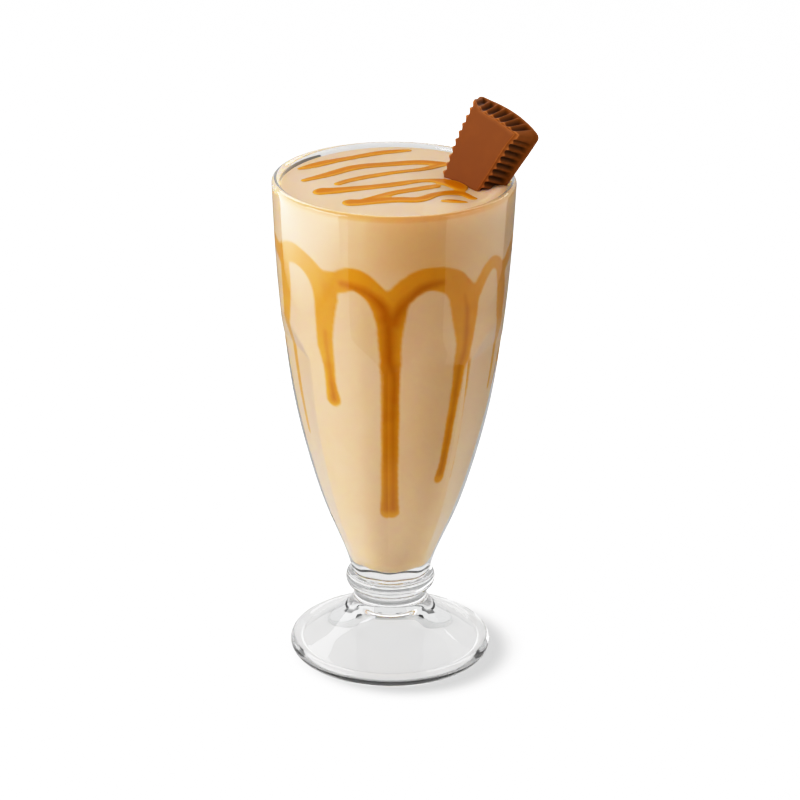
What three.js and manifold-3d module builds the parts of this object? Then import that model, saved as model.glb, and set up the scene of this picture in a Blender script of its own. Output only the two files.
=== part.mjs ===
// A milkshake in a tall footed soda glass, with sauce drizzled over the top
// and a piece of fluted chocolate stuck into it beside the rim.
// Millimetres, +Z up. The glass stands on Z = 0 and the front faces -Y.

import * as THREE from 'three';
import { mergeVertices } from 'three/addons/utils/BufferGeometryUtils.js';
import Module from 'manifold-3d';

// Glass
const glassHeight = 183;
const rimRadius = 43.2;
const rimThickness = 2.9;
const footRadius = 37.1;
const footEdgeHeight = 2.2;
const footRingInner = 33.2;
const footRingOuter = 35.6;
const footHollowHeight = 9.5;
const footHollowShape = 1.8;
const neckRadius = 13.5;
const neckBottom = 21;
const neckTop = 24.6;
const beadBottom = 25.2;
const beadTop = 31.2;
const beadRadius = 16.5;
const bowlBottomRadius = 14.3;
const bowlFloor = 33;
const floorDish = 0.4;

// Flat panels round the lower bowl
const panelCount = 8;
const panelTurn = THREE.MathUtils.degToRad(-3.6);
const panelTop = 137;
const panelFull = 129;
const panelBottom = 36;
const panelEnd = 32;

// Heights and outer radii of the bowl, measured at the ribs between the panels
const bowlHeights = [31.2, 38, 50, 72, 98, 126, 150, 181.5];
const bowlRadii = [14.3, 16.3, 21.6, 29.25, 35.5, 39.4, 41.6, 43.2];

// Heights and radii of the round space inside the bowl
const insideHeights = [33, 35, 40, 50, 72, 98, 126, 150, 181.5];
const insideRadii = [4, 7, 10.5, 15.3, 22.4, 28.2, 33.2, 37.6, 40.3];

// Heights and radii of the top of the trumpet-shaped foot
const footHeights = [3.3, 5.9, 10, 15.5, 21];
const footRadii = [36.2, 30, 22, 16, 13.5];

// Milkshake
const gap = 0.3;
const surfaceCentre = 182.6;
const surfaceEdge = 179.8;
const surfaceRounding = 1.2;

// Sauce drizzled to and fro over the surface: each line's points across the top
const drizzleRadius = 1.1;
const drizzleLift = 0.25;
const drizzleLines = [
  [[-34, 17], [-20, 26.5], [-9, 32], [4, 36.5]],
  [[-33, 2.3], [-18.6, 12.5], [-1, 20.4], [15, 21]],
  [[15, 19], [-1, 8.8], [-20, -5]],
  [[-29, -10.5], [-18, -10.3], [-7.7, -6.9], [13, 0.5]],
  [[13.5, -5], [1.4, -12.9], [-11, -19]],
  [[-17, -22.9], [-4, -21.2], [9, -20], [17, -10.5]],
];

// Chocolate piece, in its own plane: across, up and out of the face
const faceHalfWidth = 10.6;
const faceTop = 0.1;
const flutedHalfWidth = 12;
const flutedTop = 1.6;
const flutedBow = 0.6;
const flutedTaper = 0.075;
const flutedDepth = 6.7;
const slabHalfWidth = 13.9;
const slabTop = 3.3;
const slabBow = 2.6;
const slabTaper = 0.095;
const slabDepth = 2.3;
const pieceLength = 37;
const flutePitch = 2.7;
const fluteDepth = 0.8;
const joinDepth = 0.4;
const pieceTop = new THREE.Vector3(34.76, -0.27, 205.4);
const pieceAcross = new THREE.Vector3(0.6848, -0.6313, -0.3639);
const pieceUp = new THREE.Vector3(0.444, -0.0346, 0.8954);

// The whole is set so that its box is centred on the origin
const boxShift = -3.3;

// Fineness of the round surfaces
const segments = panelCount * 5;
const undersideSteps = 5;
const surfaceSteps = 5;

const wasm = await Module();
wasm.setup();

// A smooth curve of radius over height
function radiusOverHeight(heights, radii) {
  const curve = new THREE.CubicInterpolant(heights, radii, 1, new Float32Array(1));
  return (height) => curve.evaluate(height)[0];
}

const bowlOutside = radiusOverHeight(bowlHeights, bowlRadii);
const bowlInside = radiusOverHeight(insideHeights, insideRadii);
const footOutside = radiusOverHeight(footHeights, footRadii);

// Points along a curve of radius over height, from one height to another
function curvePoints(curve, from, to, count) {
  const points = [];
  for (let i = 0; i <= count; i++) {
    const height = THREE.MathUtils.lerp(from, to, i / count);
    points.push(new THREE.Vector2(curve(height), height));
  }
  return points;
}

// Points on an elliptical arc in the profile plane
function arcPoints(centreRadius, centreHeight, radial, vertical, startDegrees, endDegrees, count) {
  const points = [];
  for (let i = 0; i <= count; i++) {
    const angle = THREE.MathUtils.degToRad(THREE.MathUtils.lerp(startDegrees, endDegrees, i / count));
    points.push(new THREE.Vector2(
      centreRadius + radial * Math.cos(angle),
      centreHeight + vertical * Math.sin(angle),
    ));
  }
  return points;
}

// Joins shared vertices and drops the flat triangles that a lathe leaves on its axis
function closeGeometry(geometry) {
  geometry.deleteAttribute('normal');
  geometry.deleteAttribute('uv');
  const merged = mergeVertices(geometry, 1e-4);
  const index = merged.index.array;
  const kept = [];
  for (let i = 0; i < index.length; i += 3) {
    const [a, b, c] = [index[i], index[i + 1], index[i + 2]];
    if (a !== b && b !== c && c !== a) {
      kept.push(a, b, c);
    }
  }
  merged.setIndex(kept);
  return merged;
}

// Turns a profile round the Z axis, with one of its edges on a rib
function turned(profile) {
  const geometry = new THREE.LatheGeometry(profile, segments, panelTurn);
  geometry.rotateX(Math.PI / 2);
  return geometry;
}

function toSolid(geometry) {
  const closed = closeGeometry(geometry);
  return new wasm.Manifold(new wasm.Mesh({
    numProp: 3,
    vertProperties: new Float32Array(closed.attributes.position.array),
    triVerts: new Uint32Array(closed.index.array),
  }));
}

function toGeometry(solid) {
  const mesh = solid.getMesh();
  const geometry = new THREE.BufferGeometry();
  geometry.setAttribute('position', new THREE.BufferAttribute(mesh.vertProperties, 3));
  geometry.setIndex(new THREE.BufferAttribute(mesh.triVerts, 1));
  return geometry;
}

// How far the panels are worked in at a height: 0 on the round parts, 1 on the flats
function panelShare(height) {
  const upper = 1 - THREE.MathUtils.smoothstep(height, panelFull, panelTop);
  const lower = THREE.MathUtils.smoothstep(height, panelEnd, panelBottom);
  return upper * lower;
}

// Glass: hollow foot, neck, bead, panelled bowl and round rim in one piece
function glassGeometry() {
  const underside = [];
  for (let i = 0; i < undersideSteps; i++) {
    const radius = footRingInner * i / undersideSteps;
    const height = footHollowHeight * (1 - (radius / footRingInner) ** footHollowShape);
    underside.push(new THREE.Vector2(radius, height));
  }
  underside.push(
    new THREE.Vector2(footRingInner, 0),
    new THREE.Vector2(footRingOuter, 0),
    new THREE.Vector2((footRingOuter + 2 * footRadius) / 3, footEdgeHeight / 3),
    new THREE.Vector2(footRadius, footEdgeHeight),
  );
  const foot = curvePoints(footOutside, footHeights[0], neckBottom, 6);
  const beadHalf = (beadTop - beadBottom) / 2;
  const bead = arcPoints(
    bowlBottomRadius, beadBottom + beadHalf, beadRadius - bowlBottomRadius, beadHalf, -90, 80, 5,
  );
  const neck = [new THREE.Vector2(neckRadius, neckTop)];
  const rimHalf = rimThickness / 2;
  const rimStart = glassHeight - rimHalf;
  const lowerBowl = curvePoints(bowlOutside, panelEnd, panelFull, 12);
  const shoulder = curvePoints(bowlOutside, panelFull + 2, panelTop, 3);
  const upperBowl = curvePoints(bowlOutside, panelTop + 8, rimStart, 4);
  const rim = arcPoints(rimRadius - rimHalf, rimStart, rimHalf, rimHalf, 15, 165, 4);
  const inside = curvePoints(bowlInside, rimStart, bowlFloor, 13);
  const floor = [new THREE.Vector2(0, bowlFloor - floorDish)];

  const start = [underside, foot, neck, bead].flat();
  const bowl = [lowerBowl, shoulder, upperBowl].flat();
  const profile = [start, bowl, rim, inside, floor].flat();
  const geometry = turned(profile);

  // The outside of the bowl is drawn in from the rib circle to the flats of the panels
  const position = geometry.attributes.position;
  const halfPanel = Math.PI / panelCount;
  for (let i = 0; i <= segments; i++) {
    const fromRib = (i * 2 * Math.PI / segments) % (2 * halfPanel);
    const flat = Math.cos(halfPanel) / Math.cos(fromRib - halfPanel);
    for (let j = start.length; j < start.length + bowl.length; j++) {
      const k = i * profile.length + j;
      const scale = THREE.MathUtils.lerp(1, flat, panelShare(profile[j].y));
      position.setXY(k, position.getX(k) * scale, position.getY(k) * scale);
    }
  }
  return closeGeometry(geometry);
}

// Height of the milkshake's gently domed surface
function surfaceHeight(radius) {
  const share = radius / (rimRadius - rimThickness);
  return surfaceCentre - (surfaceCentre - surfaceEdge) * share * share;
}

// A line of sauce lying half sunk in the surface
function drizzleSolid(line) {
  const points = line.map(([x, y]) => {
    const height = surfaceHeight(Math.hypot(x, y)) + drizzleLift;
    return new THREE.Vector3(x, y, height);
  });
  const section = new THREE.Shape();
  section.absarc(0, 0, drizzleRadius, 0, 2 * Math.PI);
  const geometry = new THREE.ExtrudeGeometry(section, {
    steps: 9,
    curveSegments: 4,
    extrudePath: new THREE.CatmullRomCurve3(points),
  });
  return toSolid(geometry);
}

// Outline of the chocolate, with flutes of a given depth down both sides and over the top
function pieceOutline({ halfWidth, top, bow, taper, length, depth }) {
  const corners = [];
  const sideSteps = 2 * Math.round(length / flutePitch);
  const topSteps = 2 * Math.round(2 * halfWidth / flutePitch);
  const narrow = (down) => halfWidth - taper * down;
  for (let i = 0; i < sideSteps; i++) {
    const down = length * (1 - i / sideSteps);
    corners.push(new THREE.Vector2(narrow(down) - depth * (i % 2), top - bow - down));
  }
  for (let i = 0; i < topSteps; i++) {
    const across = halfWidth * (1 - 2 * i / topSteps);
    const drop = bow * (across / halfWidth) ** 2;
    corners.push(new THREE.Vector2(across, top - drop - depth * (i % 2)));
  }
  for (let i = 0; i <= sideSteps; i++) {
    const down = length * i / sideSteps;
    corners.push(new THREE.Vector2(-narrow(down) + depth * (i % 2), top - bow - down));
  }
  return new THREE.Shape(corners);
}

// Chocolate: a fluted block that narrows to its flat face, on a wider plain slab.
// With a margin it is the plain, slightly larger form that the milkshake leaves free.
function chocolateSolid(margin) {
  const blockOutline = pieceOutline({
    halfWidth: flutedHalfWidth + margin,
    top: flutedTop + margin,
    bow: flutedBow,
    taper: flutedTaper,
    length: pieceLength + 2 * margin,
    depth: margin > 0 ? 0 : fluteDepth,
  });
  const block = new THREE.ExtrudeGeometry(blockOutline, { depth: flutedDepth + margin, bevelEnabled: false });
  const position = block.attributes.position;
  const narrowing = (faceHalfWidth + margin) / (flutedHalfWidth + margin);
  const shortening = 1 - (flutedTop - faceTop) / pieceLength;
  for (let i = 0; i < position.count; i++) {
    if (position.getZ(i) > 0) {
      const up = (position.getY(i) - flutedTop) * shortening + faceTop;
      position.setXY(i, position.getX(i) * narrowing, up);
    }
  }
  block.translate(0, 0, -flutedDepth);

  const slabOutline = pieceOutline({
    halfWidth: slabHalfWidth + margin,
    top: slabTop + margin,
    bow: slabBow,
    taper: slabTaper,
    length: pieceLength + 2 * margin,
    depth: 0,
  });
  const slabThickness = slabDepth + joinDepth + 2 * margin;
  const slab = new THREE.ExtrudeGeometry(slabOutline, { depth: slabThickness, bevelEnabled: false });
  slab.translate(0, 0, -flutedDepth - slabDepth - margin);
  return toSolid(block).add(toSolid(slab));
}

// The chocolate's place: leaning to the right, against the rim
const piecePose = new THREE.Group();
const pieceOut = new THREE.Vector3().crossVectors(pieceAcross, pieceUp);
piecePose.quaternion.setFromRotationMatrix(
  new THREE.Matrix4().makeBasis(pieceAcross.normalize(), pieceUp.normalize(), pieceOut.normalize()),
);
piecePose.position.copy(pieceTop);
piecePose.updateMatrix();

// Milkshake: fills the glass to just under the rim, hollowed for the chocolate
function milkshakeGeometry() {
  const wallTop = surfaceEdge - surfaceRounding;
  const floor = [new THREE.Vector2(0, bowlFloor + gap)];
  const wall = curvePoints((height) => bowlInside(height - gap) - gap, bowlFloor + gap, wallTop, 12);
  const surfaceRadius = bowlInside(surfaceEdge) - gap - surfaceRounding;
  const surface = [];
  for (let i = 0; i <= surfaceSteps; i++) {
    const radius = surfaceRadius * (1 - i / surfaceSteps);
    surface.push(new THREE.Vector2(radius, surfaceHeight(radius)));
  }
  let body = toSolid(turned([floor, wall, surface].flat()));
  for (const line of drizzleLines) {
    body = body.add(drizzleSolid(line));
  }
  const hollow = toGeometry(chocolateSolid(gap));
  hollow.applyMatrix4(piecePose.matrix);
  return toGeometry(body.subtract(toSolid(hollow)));
}

// Parts
function part(name, geometry, colour, roughness, options) {
  const material = new THREE.MeshStandardMaterial({ color: colour, roughness, metalness: 0, ...options });
  geometry.computeVertexNormals();
  const mesh = new THREE.Mesh(geometry, material);
  mesh.name = name;
  return mesh;
}

const glass = part('glass', glassGeometry(), 0xf2f5f4, 0.05, { transparent: true, opacity: 0.35 });
const milkshake = part('milkshake', milkshakeGeometry(), 0xdeb887, 0.5);
const chocolate = part('chocolate_piece', toGeometry(chocolateSolid(0)), 0x8c4b20, 0.4);
piecePose.add(chocolate);

const group = new THREE.Group();
group.position.set(boxShift, 0, 0);
group.add(glass, milkshake, piecePose);

export default group;
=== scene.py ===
"""A milkshake in a footed soda glass, with sauce and a piece of fluted chocolate.

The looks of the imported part, laid out as a Blender add-on: one operator for each
piece, one for the stage, and a panel in the sidebar that lists them.
"""

import math
from functools import partial

import bmesh
import bpy
import numpy as np
from bpy.props import FloatProperty, FloatVectorProperty, IntProperty, PointerProperty
from mathutils import Matrix, Vector


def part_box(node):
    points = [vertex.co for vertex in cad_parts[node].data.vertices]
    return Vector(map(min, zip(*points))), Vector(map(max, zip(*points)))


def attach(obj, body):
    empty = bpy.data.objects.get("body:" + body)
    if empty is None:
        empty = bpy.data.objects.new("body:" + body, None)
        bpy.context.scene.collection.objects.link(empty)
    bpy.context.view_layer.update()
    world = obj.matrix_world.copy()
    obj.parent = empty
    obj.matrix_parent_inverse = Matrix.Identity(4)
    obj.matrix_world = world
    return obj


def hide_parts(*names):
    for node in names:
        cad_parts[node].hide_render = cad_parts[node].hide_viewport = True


bl_info = {
    "name": "Milkshake in a soda glass",
    "version": (1, 0, 0),
    "blender": (4, 5, 0),
    "location": "View3D > Sidebar > Milkshake",
    "description": "Models the glass, the drink, its sauce and the chocolate on the packed frame",
    "category": "Add Mesh",
}

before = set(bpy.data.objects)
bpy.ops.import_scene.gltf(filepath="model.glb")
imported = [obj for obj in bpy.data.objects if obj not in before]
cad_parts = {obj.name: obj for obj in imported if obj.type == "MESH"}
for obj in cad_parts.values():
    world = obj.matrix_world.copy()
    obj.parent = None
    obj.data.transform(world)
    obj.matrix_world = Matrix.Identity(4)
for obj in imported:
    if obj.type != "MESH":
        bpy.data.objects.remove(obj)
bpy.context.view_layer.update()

# The glass's own axis, in metres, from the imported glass
glass_low, glass_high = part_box("glass")
axis = np.array([(glass_low[0] + glass_high[0]) / 2, (glass_low[1] + glass_high[1]) / 2, 0.0])

MM = 0.001

# Heights and radii in millimetres from the glass's axis.
# Outside of the bowl, at the ribs between the panels
BOWL_HEIGHTS = (31.2, 38, 50, 72, 98, 126, 150, 181.5)
BOWL_RADII = (14.3, 16.3, 21.6, 29.25, 35.5, 39.4, 41.6, 43.2)
# Inside of the bowl
INSIDE_HEIGHTS = (35, 36.5, 40, 50, 72, 98, 126, 150, 181.5)
INSIDE_RADII = (6, 8, 10.2, 14.1, 21.2, 27.7, 33.2, 37.6, 40.3)
# Top of the trumpet-shaped foot
FOOT_HEIGHTS = (4, 7.8, 10.6, 13.8, 16.8, 19, 21)
FOOT_RADII = (32.2, 27, 23, 19, 16, 14.4, 13.6)
# Hollow under the foot, from its top to the ring it stands on
HOLLOW_RADII = (0, 4, 7.4, 8.6, 11, 16, 22, 28, 32)
HOLLOW_HEIGHTS = (13.6, 13.7, 13.6, 12.9, 10.9, 7.9, 5, 2.3, 0.4)

# The ring that the foot stands on and the neck, as radii and heights
STANDING_RING = ((32.6, 0.05), (33.2, 0), (34.8, 0), (35.5, 0.1))
NECK = ((13.5, 22), (13.45, 23), (13.5, 24), (13.65, 24.8))
# Rolled edge of the foot, and the bead of the stem: centre, reach out and up,
# first and last angle in degrees, number of points
FOOT_EDGE = ((34.7, 2.4), 2.4, 2.4, -62, 150, 20)
BEAD = ((14.1, 28.2), 2.4, 3.1, -82, 80, 20)

# Heights between which the flat panels run out into the round glass, and where the
# round glass is left as it is
PANEL_ENDS = (31, 50, 124, 136.5)
SHOULDER = 140
# Columns of the glass's mesh on a panel, and how far they crowd to the ribs
PANEL_COLUMNS = 36
RIB_CROWDING = 0.75
# Columns of the drink's mesh
DRINK_COLUMNS = 384

# The drink's surface: width of the strip that clings to the wall, the dent by the
# chocolate, and the radius within which the surface sways
CLING_WIDTH = 2
DENT_PLACE = (27, -9)
DENT_DEPTH = 2.8
DENT_SPREAD = 80
CALM_RADIUS = 38

# Sauce on the inside of the wall: each line's points give the angle round the
# glass from the front in degrees, the height and the half width in millimetres
WALL_SAUCE = (
    # Runs at the front
    ((-68, 160, 3.4), (-69, 150, 3.8), (-71, 142, 3.2), (-77, 130, 2.6), (-80, 115, 2.2), (-80, 100, 1.9),
     (-80, 90, 1.5)),
    ((-36.5, 150, 4.9), (-37.8, 143.5, 4.2), (-38.7, 139, 3.7), (-40.3, 130, 3.2), (-41, 121, 2.5),
     (-41.2, 116, 2.5), (-40.5, 109.5, 3.2)),
    ((-0.6, 148, 5.5), (-1, 143, 4.8), (-1.3, 137, 4.2), (-1.1, 130, 3.5), (-0.9, 121, 2.7), (-0.8, 107, 2.4),
     (-0.9, 93, 2.15), (-1, 78, 2.05), (-0.9, 69, 2.2), (-0.7, 64.5, 2.5)),
    ((40, 149, 6.2), (41.4, 142, 5.3), (42.7, 135.6, 4.2), (43.6, 128, 3.1), (44.4, 117, 2.4), (44.2, 104, 2),
     (44.6, 91, 1.9), (45, 82, 1.9), (44.6, 77, 2.2)),
    ((67, 156, 2.2), (70, 150, 3.2), (73, 142, 3.3), (76, 135, 2.4), (86, 126, 1.9), (90, 117, 1.8),
     (92, 106, 1.5)),
    # Swags that join them
    ((-73, 159, 3.2), (-58.6, 162.5, 4), (-48.6, 161, 3.8), (-41, 156.5, 4.2), (-37, 151, 4.6)),
    ((-35, 156, 4.2), (-27, 157, 4.2), (-20.7, 158.6, 4.4), (-13.9, 156.8, 4.1), (-7.2, 152, 4),
     (-1.7, 146, 5)),
    ((-0.5, 150, 4.4), (6.9, 155.2, 4.5), (14.2, 158.6, 4.6), (22.9, 158.9, 4.6), (31.4, 156.6, 4.9),
     (39, 150, 5.2)),
    ((43, 148, 3), (48, 152, 2.6), (52.1, 156.6, 2.6), (58.5, 159.6, 2.6), (64, 158, 2.2), (68, 153, 2.4)),
    # Round the back
    ((70, 155, 2.6), (82, 160, 3.4), (96, 161, 4), (106, 157, 4.2), (112, 150, 4.8), (113, 138, 3.8),
     (113.5, 124, 2.7), (113.5, 111, 2.6), (113.5, 105, 3)),
    ((111, 152, 4.2), (124, 158, 4.4), (140, 158, 4.4), (151, 151, 5), (154, 143, 4.6), (154.5, 130, 3.2),
     (155, 112, 2.4), (155, 90, 2.2), (155, 78, 2.5)),
    ((156, 152, 4.2), (168, 158.5, 4.2), (184, 157, 4.2), (194, 150, 4.8), (197, 142, 4.2), (198, 130, 2.9),
     (198, 118, 2.6), (198, 112, 3)),
    ((199, 152, 4.2), (211, 159, 4.4), (226, 158.5, 4.4), (237, 151, 5), (240, 142, 4.3), (241, 128, 3.1),
     (241, 108, 2.3), (241, 92, 2.2), (241, 85, 2.5)),
    ((243, 152, 4), (255, 160, 4), (270, 162, 3.6), (287, 159, 3.2)),
)

# Where the sauce on the wall is thickest: along the lower edges of the swags and
# down the middle of the runs
DEEP_SAUCE = (
    ((-26, 156.5, 0.7), (-19, 155.6, 1.1), (-13, 154, 1.3), (-8, 151.6, 1.5), (-4.7, 148.6, 1.9),
     (-2.4, 144, 2.2)),
    ((-2.4, 144, 2.2), (-1.7, 137, 2), (-1.4, 129, 1.9), (0, 121, 1.5), (-0.4, 112, 1.2), (-0.8, 96, 0.9),
     (-0.8, 80, 0.5), (-0.7, 66, 1.2)),
    ((25, 157.4, 0.7), (18, 156.6, 1.2), (12.8, 154.8, 1.5), (8.7, 152, 1.7), (5.4, 149.5, 1.9),
     (0.5, 143, 2.2)),
    ((39, 151, -0.4), (41.5, 146, 0.2), (42.6, 141, 0.5), (43.6, 134, 0.6), (44.4, 118, 0.5), (44.6, 92, 0.4),
     (44.8, 79, 0.9)),
    ((-38.6, 136, 0.1), (-40.6, 122, 0.3), (-40.2, 109.5, 1.3)),
    ((106, 152, 2), (112, 145, 2.2), (113.4, 130, 1.2), (113.5, 106, 1.2)),
    ((147, 151, 1.8), (153.5, 144, 2.2), (154.6, 126, 1.2), (155, 80, 1)),
    ((190, 150.5, 1.8), (196.5, 143, 2.2), (198, 127, 1.2), (198, 113, 1.2)),
    ((233, 151, 1.8), (239.5, 143, 2.2), (241, 126, 1.2), (241, 86, 1)),
)

# Sauce drizzled over the surface: points across the top and half widths
DRIZZLE = (
    ((-33.5, 15.6, 1.2), (-30, 17.8, 2.2), (-19, 24.6, 2.4), (-8.5, 30.4, 2), (1.9, 34.8, 1.8), (5, 35.6, 1.2)),
    (
        (-31.5, 1.6, 1.4), (-26, 5, 2.4), (-18, 11.2, 2.6), (-10, 15.8, 2.6), (-0.9, 19, 2.6), (9.9, 20.4, 2.4),
        (17, 19.8, 2.2),
    ),
    ((17, 19, 1.8), (9.8, 12.6, 1.6), (-0.8, 7.6, 1.7), (-12, 2.2, 1.8), (-19.5, -4.6, 1.6)),
    (
        (-25, -11.4, 3.4), (-21.5, -11.4, 2.9), (-17, -10.6, 2.5), (-7.7, -8, 2.4), (2.8, -3.9, 2.1), (14, 0.2, 1.9),
        (19, -0.6, 3.2), (23, -2.4, 3),
    ),
    ((15, -4.6, 1.4), (9.8, -8.2, 1.8), (1.4, -13.8, 1.9), (-4.1, -17.6, 2), (-9, -20.6, 2)),
    (
        (-14.5, -23.3, 3.3), (-10.9, -23, 2.9), (-4.1, -22, 2.6), (2.8, -21.2, 2.3), (9.1, -20.2, 2.4),
        (13.2, -15.4, 2), (18.9, -9.5, 1.8), (23.8, -7.2, 1.9), (27.6, -10.6, 1.6),
    ),
    ((17.6, -21, 1.4), (21.2, -20.4, 2.2), (24.4, -19.8, 1.3)),
)

# The sheet that the drizzle is cut from: its side, cells, a little over a cell's side, and
# how far the drizzle goes down into the drink
DRIZZLE_SHEET = 80
DRIZZLE_CELLS = 230
DRIZZLE_SPACING = 0.36
DRIZZLE_ROOT = 1.2
# A distance past any on the part
FAR = 1e3

# The chocolate's place: the middle of its face's top edge from the glass's axis,
# and the directions across and up its face
PIECE_TOP = np.array([35.24, -0.71, 205.15])
PIECE_ACROSS = np.array([0.6848, -0.6313, -0.3639])
PIECE_UP = np.array([0.444, -0.0346, 0.8954])

# Outlines of the chocolate in its own plane, as places and reaches of each side:
# the flat face, and the wider slab behind the flutes
FACE_SIDES = {
    "left": ((-37, -29, -16.6, -9.5, -3, 0.5), (-6.2, -7.8, -10.1, -10.8, -11, -10.9)),
    "top": ((-10.9, -9, -6.5, -3, 0, 5, 9.4), (0.5, -0.5, -1.1, -0.8, -0.3, -0.1, -0.1)),
    "right": ((-37, -25, -16, -10, -5, -0.1), (6.3, 7.2, 7.8, 8.05, 8.4, 9.4)),
}
SLAB_SIDES = {
    "left": ((-37, -16, 0.6), (-10.8, -13, -14.7)),
    "top": ((-14.7, -10.6, -6.2, -1.6, 3.2, 8.4, 12.4, 14.3), (0.6, 1.4, 2.4, 3.1, 3.4, 3.1, 2.4, 1.6)),
    "right": ((-37, -15.9, -10.4, -5, 1.6), (10.3, 12.6, 13.2, 13.85, 14.4)),
}

# Layers of the chocolate from its back to its face: depth behind the face, reach of
# the sides and of the top from face to slab, share of the flutes' depth on the left,
# right and top, corner softness, how far it is set in, and how pale it is painted, partly rubbing and partly a
# painted highlight
PIECE_LAYERS = (
    (9.0, 1, 1, 0, 0, 0, 9, 0.7, 0),
    (8.85, 1, 1, 0, 0, 0, 9, 0.25, 0),
    (8.4, 1, 1, 0, 0, 0, 9, 0, 0.1),
    (7.6, 1, 1, 0, 0, 0, 9, 0, 0.12),
    (7.15, 0.97, 0.98, 0, 0, 0.1, 9, 0, 0.1),
    (6.85, 0.86, 0.94, 0.3, 0.35, 0.5, 8, 0, 0),
    (6.3, 0.72, 0.87, 0.9, 0.9, 1, 6, 0, 0),
    (3.8, 0.52, 0.58, 1, 1, 1, 4, 0, 0),
    (1.6, 0.36, 0.3, 1, 1, 0.8, 2, 0, 0),
    (1.15, 0.31, 0.23, 1, 0.85, 0.6, 2, 0, 0.2),
    (0.9, 0.27, 0.18, 0.9, 0.5, 0.45, 2, 0, 0.9),
    (0.7, 0.21, 0.13, 0.8, 0.25, 0.3, 2, 0, 0.6),
    (0.25, 0.08, 0.04, 0.7, 0.06, 0.08, 1, 0, 0.2),
    (0.06, 0.01, 0, 0.6, 0, 0.02, 1, 0.04, 0.55),
    (0, 0, 0, 0.4, 0, 0, 1, 0.2, 0.1),
    (0, 0, 0, 0, 0, 0, 3, 0.8, 0),
    (0, 0, 0, 0, 0, 0, 6, 1.6, 0),
)

# Points down each side of the chocolate and over its top, flutes over its top, and the
# share of the way in from slab to face that a flute may take
SIDE_POINTS = 150
TOP_POINTS = 110
TOP_FLUTES = 8
FLUTE_ROOM = 0.85

# The camera: place in metres, turns in degrees, lens in millimetres
CAMERA_PLACE = (-0.00043, -1.0049, 0.5145)
CAMERA_TILT = 67.506
CAMERA_ROLL = 0.594
CAMERA_LENS = 135
# A camera's tone curve, as light and what is shown: deeper darks, and lights that roll off to white
BRIGHTEST = 1.5
TONES = ((0.06, 0.032), (0.15, 0.105), (0.3, 0.27), (0.5, 0.52), (0.75, 0.77), (1, 0.925), (1.2, 0.98))


def linear(hex_colour):
    """Turns an sRGB hex colour to the linear red, green and blue that Blender takes."""
    shares = [int(hex_colour[i:i + 2], 16) / 255 for i in (1, 3, 5)]
    return [c / 12.92 if c <= 0.04045 else ((c + 0.055) / 1.055) ** 2.4 for c in shares]


def colour_property(name, description, hex_colour):
    return FloatVectorProperty(
        name=name, description=description, subtype="COLOR", size=3, min=0, max=1, default=linear(hex_colour)
    )


def size_property(name, description, millimetres):
    return FloatProperty(
        name=name, description=description, subtype="DISTANCE", unit="LENGTH", default=millimetres * MM
    )


def power_property(name, description, watts):
    return FloatProperty(name=name, description=description, subtype="POWER", unit="POWER", default=watts)


def glow_property(name, description, brightness):
    return FloatProperty(name=name, description=description, default=brightness, min=0)


class MilkshakeSizes(bpy.types.PropertyGroup):
    """Sizes that set the shape of the pieces"""

    panel_count: IntProperty(name="Panels", description="Flat panels round the lower bowl", default=8, min=4)
    panel_turn: FloatProperty(
        name="Panel turn", description="Turn of the first rib from the front",
        subtype="ANGLE", unit="ROTATION", default=math.radians(-2.2),
    )
    rib_rounding: size_property("Rib rounding", "Softness of the ribs and of the panels' arched tops", 0.7)
    rim_thickness: size_property("Rim thickness", "Thickness of the rounded rim", 2.9)
    surface_centre: size_property("Surface, middle", "Height of the drink in the middle", 182.2)
    surface_edge: size_property("Surface, edge", "Height of the drink where it clings to the wall", 182.1)
    wall_reach: size_property("Wall reach", "How far the drink reaches into the wall so that no air shows", 0.2)
    drizzle_height: size_property("Drizzle height", "Height of the drizzled sauce over the surface", 0.4)
    flute_pitch: size_property("Flute pitch", "Spacing of the chocolate's flutes", 2.75)
    flute_depth: size_property("Flute depth", "Depth of the chocolate's flutes", 1.5)
    piece_length: size_property("Chocolate length", "Length of the chocolate, most of it shown", 37)


class MilkshakeColours(bpy.types.PropertyGroup):
    """Colours of the finishes"""

    shake: colour_property("Milkshake", "The creamy drink", "#DCBF99")
    shake_pale: colour_property("Milkshake, pale", "Paler swirls in the drink", "#E0C6A4")
    froth: colour_property("Froth", "The top of the drink", "#CFAF8F")
    sauce_thin: colour_property("Sauce, thin", "Sauce where it is thin, at its edges", "#D69F28")
    sauce_deep: colour_property("Sauce, deep", "Sauce where it is thick", "#BA7706")
    drizzle_thin: colour_property("Drizzle, thin", "Drizzled sauce at its edges", "#D09426")
    drizzle_deep: colour_property("Drizzle, deep", "Drizzled sauce where it is thick", "#C07808")
    chocolate: colour_property("Chocolate", "The chocolate's face", "#7C460A")
    # Painted highlight as well as rubbing: this paler colour is laid on the chocolate's edges and ridges
    chocolate_worn_highlight: colour_property("Chocolate, rubbed", "Edges of the chocolate, rubbed paler", "#BC7C42")
    # Painted shade: this darker colour is laid in the hollows of the flutes
    chocolate_hollow_shade: colour_property("Chocolate, deep", "Hollows of the chocolate's flutes", "#482307")
    floor: colour_property("Floor", "The pale floor", "#DCDCDC")


class MilkshakeStage(bpy.types.PropertyGroup):
    """Light of the studio"""

    key_power: power_property("Key softbox", "Softbox on the left", 19)
    fill_power: power_property("Fill softbox", "Softbox on the right", 5.2)
    overhead_power: power_property("Overhead", "Soft light over the floor", 15)
    left_card: glow_property("Left card", "Brightness of the card on the left", 3.5)
    right_card: glow_property("Right card", "Brightness of the card on the right", 1.2)
    back_card: glow_property("Back card", "Brightness of the card behind", 4)
    surround: glow_property("Surround", "Brightness of the room in front", 0.3)
    backdrop: glow_property("Backdrop", "Brightness of the room behind", 0.8)


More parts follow.
